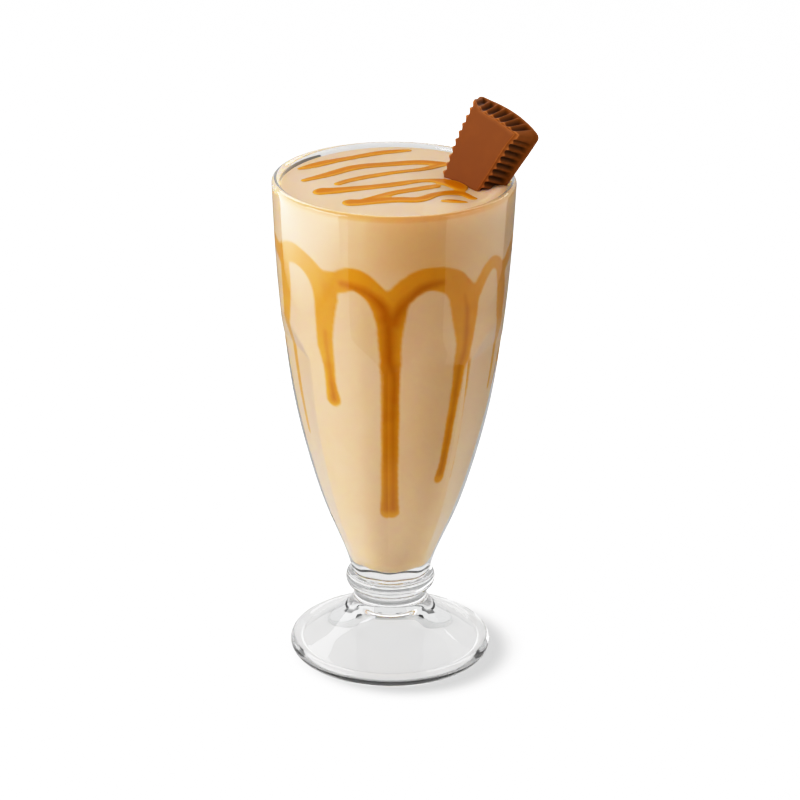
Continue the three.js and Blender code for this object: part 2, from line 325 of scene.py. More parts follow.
def smooth_curve(places, values):
    """A natural cubic spline through the values at the places."""
    places = np.asarray(places, float)
    values = np.asarray(values, float)
    step = np.diff(places)
    slope = np.diff(values) / step
    system = np.eye(len(places))
    right = np.zeros(len(places))
    for i in range(1, len(places) - 1):
        system[i, i - 1:i + 2] = step[i - 1], 2 * (step[i - 1] + step[i]), step[i]
        right[i] = 6 * (slope[i] - slope[i - 1])
    bend = np.linalg.solve(system, right)

    def value(place):
        i = np.clip(np.searchsorted(places, place) - 1, 0, len(step) - 1)
        after = place - places[i]
        before = places[i + 1] - place
        curved = (bend[i] * before ** 3 + bend[i + 1] * after ** 3) / (6 * step[i])
        start = (values[i] / step[i] - bend[i] * step[i] / 6) * before
        end = (values[i + 1] / step[i] - bend[i + 1] * step[i] / 6) * after
        return curved + start + end

    return value


bowl_outside = smooth_curve(BOWL_HEIGHTS, BOWL_RADII)
bowl_inside = smooth_curve(INSIDE_HEIGHTS, INSIDE_RADII)
foot_outside = smooth_curve(FOOT_HEIGHTS, FOOT_RADII)
foot_hollow = smooth_curve(HOLLOW_RADII, HOLLOW_HEIGHTS)


def arc(centre, radial, vertical, start, end, count):
    """Points on an elliptical arc of a profile, between two angles in degrees."""
    angles = np.radians(np.linspace(start, end, count))
    return [(centre[0] + radial * math.cos(a), centre[1] + vertical * math.sin(a)) for a in angles]


def soft_least(one, other, blend):
    """The lesser of two values, merging softly where they are nearly the same."""
    mix = np.clip(0.5 + 0.5 * (one - other) / blend, 0, 1)
    return one * (1 - mix) + other * mix - blend * mix * (1 - mix)


def read_points(piece):
    """A piece's points in millimetres from the glass's axis."""
    points = np.empty(len(piece.data.vertices) * 3)
    piece.data.vertices.foreach_get("co", points)
    return (points.reshape(-1, 3) - axis) / MM


def write_points(piece, points):
    piece.data.vertices.foreach_set("co", (np.asarray(points) * MM + axis).ravel())
    piece.data.update()


def store(piece, name, values):
    """Keeps a number for each point, for the finish to read."""
    attribute = piece.data.attributes.new(name, "FLOAT", "POINT")
    attribute.data.foreach_set("value", np.asarray(values, np.float32))


def start_piece(name):
    """Names the primitive that was just added, and its mesh."""
    piece = bpy.context.active_object
    piece.name = name
    piece.data.name = name
    return piece


def draw_line(name, points):
    """Extrudes one vertex through the points, and leaves the line selected in edit mode."""
    bpy.ops.object.select_all(action="DESELECT")
    bpy.ops.mesh.primitive_plane_add(size=MM, location=(0, 0, 0))
    piece = start_piece(name)
    bpy.ops.object.mode_set(mode="EDIT")
    bpy.ops.mesh.select_all(action="SELECT")
    bpy.ops.mesh.merge(type="CENTER")
    bpy.ops.transform.translate(value=points[0])
    for here, there in zip(points, points[1:]):
        bpy.ops.mesh.extrude_vertices_move(TRANSFORM_OT_translate={"value": there - here})
    bpy.ops.mesh.select_all(action="SELECT")
    return piece


def face_outwards():
    """Turns the faces of the shape that is edited outwards, and leaves edit mode."""
    bpy.ops.mesh.select_all(action="SELECT")
    bpy.ops.mesh.normals_make_consistent(inside=False)
    bpy.ops.object.mode_set(mode="OBJECT")


def turn_profile(name, profile, columns, first_angle=0.0):
    """Draws a profile of radius and height and spins it round the glass's axis."""
    out = Vector((math.sin(first_angle), -math.cos(first_angle), 0))
    centre = Vector(axis)
    piece = draw_line(name, [centre + out * r * MM + Vector((0, 0, z * MM)) for r, z in profile])
    bpy.ops.mesh.spin(steps=columns, angle=2 * math.pi, center=centre, axis=(0, 0, 1))
    bpy.ops.mesh.select_all(action="SELECT")
    bpy.ops.mesh.remove_doubles(threshold=0.002 * MM)
    face_outwards()
    return piece


def finish_piece(piece, material, replaces=None, sharp=50):
    """Shades a piece smooth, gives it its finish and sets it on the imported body."""
    bpy.ops.object.select_all(action="DESELECT")
    piece.select_set(True)
    bpy.context.view_layer.objects.active = piece
    bpy.ops.object.shade_smooth_by_angle(angle=math.radians(sharp))
    piece.data.materials.clear()
    piece.data.materials.append(material)
    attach(piece, "root")
    if replaces:
        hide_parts(replaces)


def add_node(tree, kind, settings=None):
    """Adds a node with its settings, and links it where one is an output, or a node for its first output in use."""
    node = tree.nodes.new("ShaderNode" + kind)
    for name, value in (settings or {}).items():
        if isinstance(value, bpy.types.Node):
            value = next(output for output in value.outputs if output.enabled)
        if isinstance(value, bpy.types.NodeSocket):
            tree.links.new(value, node.inputs[name])
        elif isinstance(name, int) or name in node.inputs:
            node.inputs[name].default_value = value
        else:
            setattr(node, name, value)
    return node


def start_nodes(owner):
    """Clears the nodes of a material or world, and gives what adds a node to them."""
    owner.use_nodes = True
    owner.node_tree.nodes.clear()
    return partial(add_node, owner.node_tree)


def start_material(name):
    """A new material, what adds a node to it, and its Object coordinates."""
    material = bpy.data.materials.new(name)
    add = start_nodes(material)
    return material, add, add("TexCoord").outputs["Object"]


def soda_glass():
    """Pressed soda-lime glass: clear, sharp reflections, slightly wavy from the mould."""
    material, add, place = start_material("pressed_soda_glass")
    # Ripples about 12 mm apart, a few micrometres deep
    ripple = add("TexNoise", {"Scale": 1 / 0.012, "Detail": 1, "Vector": place})
    bump = add("Bump", {"Strength": 0.12, "Distance": 0.0002, "Height": ripple})
    glass = add("BsdfPrincipled", {
        "Base Color": (0.985, 0.992, 0.99, 1), "Roughness": 0.0, "IOR": 1.5, "Transmission Weight": 1,
        "Normal": bump,
    })
    # Lamps shine through the glass onto what is in it. Light that it has bent more than
    # twice is sent straight out, dimmed where the camera sees it: painted shade that greys its rims
    path = add("LightPath").outputs
    other = add("Math", {"operation": "ADD", 0: path["Diffuse Depth"], 1: path["Is Shadow Ray"]})
    first = add("Math", {"operation": "LESS_THAN", 1: 0.5, 0: other})
    # Round the bowl, from 33 to 150 mm up, it goes straight out at once, and the painted shade lines the outline
    # grey
    parts = add("SeparateXYZ", {0: place})
    bowl = add("Math", {"operation": "COMPARE", 1: 0.0915, 2: 0.0585, 0: parts.outputs["Z"]})
    seen = add("Math", {"operation": "MULTIPLY", 0: bowl, 1: first})
    turns = add("Math", {"operation": "MULTIPLY_ADD", 1: 2, 0: seen, 2: path["Ray Depth"]})
    sent_straight = add("Math", {"operation": "GREATER_THAN", 1: 2.5, 0: turns})
    painted_shade_mask = add("Math", {"operation": "MULTIPLY", 0: sent_straight, 1: first})
    share = add("Math", {"operation": "MULTIPLY_ADD", 1: -0.42, 2: 0.96, 0: painted_shade_mask})
    clear = add("BsdfTransparent", {"Color": share})
    through = add("Math", {"operation": "MAXIMUM", 0: path["Is Shadow Ray"], 1: sent_straight})
    mix = add("MixShader", {0: through, 1: glass, 2: clear})
    add("OutputMaterial", {"Surface": mix})
    return material


def sauce_tone(add, thin, deep, place, depth):
    """Caramel's colour from its depth, with slow streaks of thickness about 6 mm across."""
    streak = add("TexNoise", {"Scale": 1 / 0.006, "Detail": 2, "Vector": place})
    uneven = add("Math", {"operation": "MULTIPLY_ADD", 1: 0.5, 2: -0.25, 0: streak})
    thick = add("Math", {"operation": "ADD", "use_clamp": True, 0: depth.outputs["Fac"], 1: uneven})
    return add("Mix", {"data_type": "RGBA", 6: (*thin, 1), 7: (*deep, 1), 0: thick})


def thick_milkshake(colours):
    """Blended ice cream and milk: creamy, soft-lit from within, with caramel run down its side."""
    material, add, place = start_material("blended_milkshake")
    # Swirls about 15 mm across
    swirl = add("TexNoise", {"Scale": 1 / 0.015, "Detail": 3, "Distortion": 1.2, "Vector": place})
    shake = add("Mix", {"data_type": "RGBA", 6: (*colours.shake, 1), 7: (*colours.shake_pale, 1), 0: swirl})
    froth = add("Attribute", {"attribute_name": "froth"})
    creamy = add("Mix", {"data_type": "RGBA", 7: (*colours.froth, 1), 0: froth.outputs["Fac"], 6: shake})
    sauce = add("Attribute", {"attribute_name": "sauce"})
    depth = add("Attribute", {"attribute_name": "depth"})
    caramel = sauce_tone(add, colours.sauce_thin, colours.sauce_deep, place, depth)
    tone = add("Mix", {"data_type": "RGBA", 0: sauce.outputs["Fac"], 6: creamy, 7: caramel})
    # Fine air bubbles about 1 mm apart
    bubbles = add("TexNoise", {"Scale": 1 / 0.001, "Detail": 2, "Vector": place})
    bump = add("Bump", {"Strength": 0.12, "Distance": 0.0002, "Height": bubbles})
    # Light goes some 4 mm into the drink, and less far in blue than in red
    drink = add("BsdfPrincipled", {
        "Roughness": 0.4, "IOR": 1.36, "Specular IOR Level": 0.15, "Subsurface Weight": 1,
        "Subsurface Radius": (1, 0.8, 0.3), "Subsurface Scale": 0.004, "Base Color": tone, "Normal": bump,
    })
    add("OutputMaterial", {"Surface": drink})
    return material


def caramel_sauce(colours):
    """Caramel sauce: amber, paler where it is thin at its edges, glossy where it meets the air."""
    material, add, place = start_material("caramel_sauce")
    depth = add("Attribute", {"attribute_name": "depth"})
    cover = add("Attribute", {"attribute_name": "sauce"})
    caramel = sauce_tone(add, colours.drizzle_thin, colours.drizzle_deep, place, depth)
    tone = add("Mix", {"data_type": "RGBA", 6: (*colours.froth, 1), 0: cover.outputs["Fac"], 7: caramel})
    sauce = add("BsdfPrincipled", {
        "Roughness": 0.14, "IOR": 1.46, "Specular IOR Level": 0.04, "Base Color": tone,
    })
    add("OutputMaterial", {"Surface": sauce})
    return material


def milk_chocolate(colours):
    """Moulded milk chocolate: satin, warm brown, with edges and ridges painted paler, partly rubbing and partly a
    painted highlight, and painted shade in the flutes' hollows.
    """
    material, add, place = start_material("moulded_milk_chocolate")
    rub = add("Attribute", {"attribute_name": "rub"}).outputs["Fac"]
    # Clouds of bloom about 5 mm across
    bloom = add("TexNoise", {"Scale": 1 / 0.005, "Detail": 4, "Vector": place})
    # Paleness from rubbing and painted highlight, with the bloom's clouds
    paleness = add("Math", {"operation": "MULTIPLY_ADD", 1: 0.12, 0: bloom, 2: rub})
    less = add("Math", {"operation": "SUBTRACT", "use_clamp": True, 1: 0.06, 0: paleness})
    worn_and_lit = add("Mix", {
        "data_type": "RGBA", 6: (*colours.chocolate, 1), 7: (*colours.chocolate_worn_highlight, 1), 0: less,
    })
    # Painted shade: hollows of the flutes have a value below 0, and are darkened towards the deep colour
    painted_hollow_shade = add("Math", {"operation": "MULTIPLY", "use_clamp": True, 1: -2.2, 0: rub})
    tone = add("Mix", {"data_type": "RGBA", 7: (*colours.chocolate_hollow_shade, 1), 0: painted_hollow_shade, 6: worn_and_lit})
    # Grain about 0.4 mm across
    grain = add("TexNoise", {"Scale": 1 / 0.0004, "Detail": 2, "Vector": place})
    bump = add("Bump", {"Strength": 0.1, "Distance": 0.0001, "Height": grain})
    shine = add("MapRange", {"To Min": 0.34, "To Max": 0.5, "Value": bloom})
    chocolate = add("BsdfPrincipled", {
        "IOR": 1.47, "Specular IOR Level": 0.08, "Base Color": tone, "Roughness": shine, "Normal": bump,
    })
    add("OutputMaterial", {"Surface": chocolate})
    return material


def matt_floor(colours):
    """Matt white paper: plain, with a barely seen mottle, a painted shadow right of the foot and painted shade
    behind the glass in what the glass mirrors.
    """
    material, add, place = start_material("matt_paper")
    # Mottle about 80 mm across
    mottle = add("TexNoise", {"Scale": 1 / 0.08, "Detail": 1, "Vector": place})
    pale = Vector(colours.floor)
    tone = add("Mix", {"data_type": "RGBA", 6: (*pale, 1), 7: (*(0.99 * pale), 1), 0: mottle})
    paper = add("BsdfDiffuse", {"Color": tone})
    # The camera sees the paper lit through to white, and the glass sees it greyer
    lit = add("Emission", {"Strength": 0.75})
    white = add("AddShader", {0: paper, 1: lit})
    path = add("LightPath").outputs
    # Painted shade: behind the glass the paper runs off into dark for the glass's reflections alone, which greys
    # what the glass mirrors
    parts = add("SeparateXYZ", {0: place})
    far = add("MapRange", {"From Min": 0.02, "From Max": 0.25, "To Max": 0.65, "Value": parts.outputs["Y"]})
    mirrored = add("Math", {"operation": "MULTIPLY", 0: path["Is Glossy Ray"], 1: path["Is Reflection Ray"]})
    dim = add("Math", {"operation": "MULTIPLY", 0: far, 1: mirrored})
    shade = add("BsdfDiffuse", {"Color": (0.02, 0.02, 0.02, 1)})
    seen = add("MixShader", {0: dim, 1: paper, 2: shade})
    # Painted shadow: right of the foot the paper is darkened softly, over some 16 mm
    painted_shadow_centre = (axis[0] + 0.006, axis[1] - 0.003, 0)
    beside = add("VectorMath", {"operation": "DISTANCE", 1: painted_shadow_centre, 0: place})
    outside_painted_shadow = add("MapRange", {
        "interpolation_type": "SMOOTHSTEP", "From Min": 0.033, "From Max": 0.049, "Value": beside,
    })
    painted_shadow_glow = add("Emission", {"Strength": 0.65})
    plain = add("MixShader", {0: outside_painted_shadow, 1: painted_shadow_glow, 2: white})
    mix = add("MixShader", {0: path["Is Camera Ray"], 1: seen, 2: plain})
    add("OutputMaterial", {"Surface": mix})
    return material


def graded_card(name, glow):
    """White card that glows as painted light: in full at its top, and falling off to the floor's own grey as if it
    were lit from above.
    """
    material, add, place = start_material(name)
    parts = add("SeparateXYZ", {0: place})
    # Its full glow is reached 60 mm up
    rise = add("MapRange", {"From Max": 0.06, "To Min": 0.6, "To Max": glow, "Value": parts.outputs["Z"]})
    lit = add("Emission", {"Strength": rise})
    add("OutputMaterial", {"Surface": lit})
    return material


def black_velvet():
    """Black cloth: fades in from 60 to 120 mm round the glass, so it leaves no line in the panels."""
    material, add, place = start_material("black_velvet")
    out = add("VectorMath", {"operation": "LENGTH", 0: place})
    fade = add("MapRange", {"From Min": 0.06, "From Max": 0.12, "Value": out})
    clear = add("BsdfTransparent")
    matt = add("BsdfDiffuse", {"Color": (0.01, 0.01, 0.01, 1)})
    mix = add("MixShader", {0: fade, 1: clear, 2: matt})
    add("OutputMaterial", {"Surface": mix})
    return material


def studio_room(stage):
    """A dim room in front, and a white backdrop behind the glass."""
    world = bpy.data.worlds.new("studio")
    add = start_nodes(world)
    place = add("TexCoord").outputs["Generated"]
    back = add("SeparateXYZ", {0: place}).outputs["Y"]
    glow = add("MapRange", {
        "From Min": -0.3, "From Max": 0.7, "To Min": stage.surround, "To Max": stage.backdrop, "Value": back,
    })
    # The glass shows the front of the room darker still
    path = add("LightPath").outputs
    first = add("Math", {"operation": "LESS_THAN", 1: 0.5, 0: path["Diffuse Depth"]})
    seen = add("Math", {"operation": "MULTIPLY", 0: first, 1: path["Is Glossy Ray"]})
    dark = add("MapRange", {
        "From Min": -0.3, "From Max": 0.4, "To Min": 0.03, "To Max": stage.backdrop, "Value": back,
    })
    either = add("Mix", {"data_type": "FLOAT", 0: seen, 2: glow, 3: dark})
    room = add("Background", {"Color": (1, 1, 1, 1), "Strength": either})
    add("OutputWorld", {"Surface": room})
    return world


def hide_from_camera(prop, finish, mirrored):
    """Finishes a thing of the stage that is seen mirrored in the glass alone, or through it alone."""
    prop.data.materials.append(finish)
    prop.visible_camera = False
    prop.visible_diffuse = False
    prop.visible_glossy = mirrored
    prop.visible_transmission = not mirrored
    prop.visible_shadow = False


def front_share(y):
    """How far a point is to the front of the glass, from 0 behind to 1."""
    return np.clip((-y - 6) / 16, 0, 1)


def edge_fall(x, y):
    """How far the surface falls to the wall, in millimetres: most on the left, least at the back."""
    return 1 + 0.8 * np.clip(-x / 40, 0, 1) - 0.5 * np.clip(y / 40, 0, 1)


def surface_height(x, y, sizes):
    """Height of the drink's surface at a point from the glass's axis, in millimetres."""
    centre = sizes.surface_centre / MM
    edge = sizes.surface_edge / MM
    radius = np.hypot(x, y)
    wall = INSIDE_RADII[-1]
    # It falls off to the side and clings a millimetre up the wall in front
    fall = (centre - edge + edge_fall(x, y)) * (radius / wall) ** 2
    cling = np.clip((radius - wall + CLING_WIDTH) / CLING_WIDTH, 0, 1) ** 2 * front_share(y) * edge_fall(x, y)
    # The thick drink is pressed down where the chocolate was pushed in, and sways a little
    dent = DENT_DEPTH * np.exp(-((x - DENT_PLACE[0]) ** 2 + (y - DENT_PLACE[1]) ** 2) / DENT_SPREAD)
    sway = 0.22 * np.sin(0.21 * x + 0.1 * y) * np.sin(0.17 * y - 0.06 * x + 1)
    calm = np.clip((CALM_RADIUS ** 2 - x * x - y * y) / 300, 0, 1)
    return centre - fall + cling + (sway - dent) * calm


def sauce_distance(points, lines, blend=1.6):
    """Distance of points from the edge of lines of sauce, less than 0 inside, merging softly."""
    total = np.full(len(points), FAR)
    for line in lines:
        line = np.asarray(line, float)
        spread = line[:, 3].max() + 4
        near = np.all((points > line[:, :3].min(0) - spread) & (points < line[:, :3].max(0) + spread), axis=1)
        close = points[near]
        nearest = np.full(len(close), FAR)
        for start, end in zip(line, line[1:]):
            run = end[:3] - start[:3]
            share = np.clip((close - start[:3]) @ run / max(run @ run, 1e-9), 0, 1)
            gap = np.linalg.norm(close - start[:3] - share[:, None] * run, axis=1)
            nearest = np.minimum(nearest, gap - start[3] - share * (end[3] - start[3]))
        total[near] = soft_least(nearest, total[near], blend)
    return total


def finer(line, count=5):
    """More points on a line of sauce, on a smooth curve through those given."""
    line = np.asarray(line, float)
    places = np.concatenate([[0], np.cumsum(np.linalg.norm(np.diff(line[:, :3], axis=0), axis=1))])
    fine = np.linspace(0, places[-1], count * (len(line) - 1) + 1)
    return np.stack([smooth_curve(places, line[:, i])(fine) for i in range(4)], axis=1)


def sauce_on_wall(lines, reach):
    """Lines of sauce set on the inside of the wall, as points and half widths in millimetres."""
    placed = []
    for line in lines:
        points = []
        for degrees, height, half_width in line:
            angle = math.radians(degrees)
            radius = bowl_inside(height) + reach
            points.append((radius * math.sin(angle), -radius * math.cos(angle), height, half_width))
        placed.append(finer(points))
    return placed


def trim_to_sauce(piece, lines, spacing):
    """Cuts a fine sheet down to the lines of sauce and draws its rim in to their edge."""
    away = sauce_distance(read_points(piece), lines)
    bpy.ops.object.mode_set(mode="EDIT")
    bpy.ops.mesh.select_all(action="DESELECT")
    bpy.ops.object.mode_set(mode="OBJECT")
    piece.data.vertices.foreach_set("select", away > spacing)
    bpy.ops.object.mode_set(mode="EDIT")
    bpy.ops.mesh.delete(type="VERT")
    # Points where two corners of the sheet only touch are taken out too
    touching = True
    while touching:
        shape = bmesh.from_edit_mesh(piece.data)
        touching = [v for v in shape.verts if sum(edge.is_boundary for edge in v.link_edges) > 2]
        for vertex in touching:
            vertex.select_set(True)
        bpy.ops.mesh.delete(type="VERT")
    bpy.ops.mesh.select_all(action="SELECT")
    bpy.ops.mesh.delete_loose(use_verts=True, use_edges=True, use_faces=False)
    bpy.ops.object.mode_set(mode="OBJECT")
    points = read_points(piece)
    away = sauce_distance(points, lines)
    rim = np.flatnonzero(away > 0)
    for _ in range(2):
        edge = points[rim]
        slope = np.stack([
            sauce_distance(edge + step, lines) - sauce_distance(edge - step, lines) for step in 0.05 * np.eye(3)
        ], axis=1)
        slope /= np.maximum(np.linalg.norm(slope, axis=1), 1e-6)[:, None]
        points[rim] = edge - slope * away[rim, None]
        away[rim] = sauce_distance(points[rim], lines)
    return points, np.maximum(-away, 0)


class MILKSHAKE_OT_glass(bpy.types.Operator):
    """Turns the glass from its profile and works the flat panels into its bowl"""

    bl_idname = "milkshake.make_glass"
    bl_label = "Glass"

    def execute(self, context):
        sizes = context.scene.milkshake_sizes
        rim = sizes.rim_thickness / MM / 2
        rim_height = glass_high[2] / MM - rim
        low = INSIDE_HEIGHTS[0]
        underside = [(r, foot_hollow(r)) for r in np.linspace(0, HOLLOW_RADII[-1], 32)]
        foot = [(foot_outside(z), z) for z in np.linspace(FOOT_HEIGHTS[0], FOOT_HEIGHTS[-1], 28)]
        # Rows of the bowl are closest at the shoulder, where the panels end
        rows = (*np.linspace(31.7, 118, 56), *np.linspace(118.8, 139, 30), *np.linspace(142, rim_height, 14))
        bowl = [(bowl_outside(z), z) for z in rows]
        lip = arc((BOWL_RADII[-1] - rim, rim_height), rim, rim, 8, 172, 14)
        inside = [(bowl_inside(z), z) for z in np.linspace(rim_height, low, 54)]
        floor = [(3, low - 0.6), (0, low - 0.8)]
        stem = [*underside, *STANDING_RING, *arc(*FOOT_EDGE), *foot, *NECK, *arc(*BEAD)]
        profile = stem + bowl + lip + inside + floor
        piece = turn_profile("soda_glass", profile, sizes.panel_count * PANEL_COLUMNS, sizes.panel_turn)

        # Columns of the mesh are crowded to the ribs, so that their rounding is fine
        points = read_points(piece)
        turns = sizes.panel_count
        angle = np.arctan2(points[:, 0], -points[:, 1]) - sizes.panel_turn
        angle += sizes.panel_turn - RIB_CROWDING * np.sin(turns * angle) / turns
        radius = np.hypot(points[:, 0], points[:, 1])
        points[:, 0] = radius * np.sin(angle)
        points[:, 1] = -radius * np.cos(angle)

        # Flats are drawn in from the rib circle, and run out in arches under the shoulder
        height = points[:, 2]
        half = math.pi / turns
        from_middle = np.mod(angle - sizes.panel_turn, 2 * half) - half
        flat = np.interp(height, PANEL_ENDS, (1.005, math.cos(half), math.cos(half), 1.01)) / np.cos(from_middle)
        drawn = soft_least(flat, 1, sizes.rib_rounding / MM / np.maximum(radius, 1))
        wall_middle = (bowl_outside(height) + bowl_inside(np.maximum(height, low))) / 2
        outer = (height > PANEL_ENDS[0]) & (height < SHOULDER) & ((radius > wall_middle) | (height < low - 1))
        points[:, :2] *= np.where(outer, drawn, 1)[:, None]
        write_points(piece, points)
        finish_piece(piece, soda_glass(), "glass")
        return {"FINISHED"}


class MILKSHAKE_OT_drink(bpy.types.Operator):
    """Turns the body of the milkshake, which fills the glass to just under its rim"""

    bl_idname = "milkshake.make_drink"
    bl_label = "Milkshake"

    def execute(self, context):
        sizes = context.scene.milkshake_sizes
        reach = sizes.wall_reach / MM
        edge = sizes.surface_edge / MM
        low = INSIDE_HEIGHTS[0]
        base = [(0, low - 1), (3, low - 0.8)]
        # Rows of the wall are closest where the sauce runs down it
        rows = (*np.linspace(low - 0.1, 57, 18), *np.arange(57.62, 172, 0.62), *np.linspace(172.5, edge - 0.8, 8))
        wall = [(bowl_inside(z) + reach, z) for z in rows]
        rounded = [(bowl_inside(edge) + reach - 0.1, edge - 0.3)]
        top = [(r, edge) for r in np.linspace(bowl_inside(edge) - 0.6, 0, 34)]
        piece = turn_profile("milkshake_body", base + wall + rounded + top, DRINK_COLUMNS)
        points = read_points(piece)
        upper = points[:, 2] > edge - 0.1
        # Away from the front, the last 2 mm of the wall come down with the surface
        wall_top = ~upper & (points[:, 2] > edge - 2)
        x, y, z = points[wall_top].T
        drop = np.clip((z - edge + 2) / 1.7, 0, 1) * (0.1 + edge_fall(x, y))
        points[wall_top, 2] -= drop * (1 - front_share(y))
        points[upper, 2] = surface_height(points[upper, 0], points[upper, 1], sizes)
        write_points(piece, points)
        store(piece, "froth", upper)
        finish_piece(piece, thick_milkshake(context.scene.milkshake_colours), "milkshake")
        return {"FINISHED"}


class MILKSHAKE_OT_wall_sauce(bpy.types.Operator):
    """Runs the sauce down the side of the drink, in swags and drips behind the glass"""

    bl_idname = "milkshake.make_wall_sauce"
    bl_label = "Sauce on the wall"

    def execute(self, context):
        sizes = context.scene.milkshake_sizes
        reach = sizes.wall_reach / MM
        piece = bpy.data.objects["milkshake_body"]
        points = read_points(piece)
        x, y, z = points.T
        away = sauce_distance(points, sauce_on_wall(WALL_SAUCE, reach))
        deep = sauce_distance(points, sauce_on_wall(DEEP_SAUCE, reach))
        # The edge wanders a little where the sauce clung
        away += 0.12 * np.sin(0.9 * x + 1.3 * z) * np.sin(0.7 * z - 0.8 * y)
        cover = np.clip((0.45 - away) / 1.1, 0, 1)
        cover = cover * cover * (3 - 2 * cover)
        # A film of it is left above the swags in front, and a line where the drink meets the wall
        turn = np.degrees(np.arctan2(x, -y))
        film = 0.3 * np.exp(-((turn - 14) / 26) ** 2) * np.clip((z - 158) / 6, 0, 1)
        line = np.clip(1.3 - np.abs(z - sizes.surface_edge / MM + 0.9), 0, 1) * np.clip(0.4 - y / 60, 0, 1)
        top = np.empty(len(points), np.float32)
        piece.data.attributes["froth"].data.foreach_get("value", top)
        line = np.where(top < 0.5, line, 0)
        film = np.where(top < 0.5, np.maximum(film, 0.55 * line), 0)
        store(piece, "sauce", np.maximum(cover, film))
        deep = np.minimum(deep, 1.4 - 2.4 * line)
        store(piece, "depth", np.clip((1.4 - deep) / 3, 0, 1))
        return {"FINISHED"}


class MILKSHAKE_OT_drizzle(bpy.types.Operator):
    """Makes the sauce that is drizzled to and fro over the surface"""

    bl_idname = "milkshake.make_drizzle"
    bl_label = "Drizzle"

    def execute(self, context):
        sizes = context.scene.milkshake_sizes
        lines = [finer([(x, y, 0, half_width) for x, y, half_width in line]) for line in DRIZZLE]
        bpy.ops.object.select_all(action="DESELECT")
        bpy.ops.mesh.primitive_grid_add(
            x_subdivisions=DRIZZLE_CELLS, y_subdivisions=DRIZZLE_CELLS, size=DRIZZLE_SHEET * MM, location=(0, 0, 0),
        )
        piece = start_piece("drizzle")
        write_points(piece, read_points(piece) + axis / MM)
        points, depth = trim_to_sauce(piece, lines, DRIZZLE_SPACING)
        lift = sizes.drizzle_height / MM * np.sqrt(1 - (1 - np.clip(depth / 2.2, 0, 1)) ** 2)
        points[:, 2] = surface_height(points[:, 0], points[:, 1], sizes) + lift + 0.01
        write_points(piece, points)
        store(piece, "sauce", np.clip(0.75 + depth / 0.4, 0, 1))
        store(piece, "depth", np.clip((depth - 0.2) / 1.4, 0, 1))
        bpy.ops.object.mode_set(mode="EDIT")
        bpy.ops.mesh.select_all(action="SELECT")
        bpy.ops.mesh.normals_make_consistent(inside=False)
        bpy.ops.mesh.extrude_region_move(TRANSFORM_OT_translate={"value": (0, 0, -DRIZZLE_ROOT * MM)})
        face_outwards()
        finish_piece(piece, caramel_sauce(context.scene.milkshake_colours))
        return {"FINISHED"}


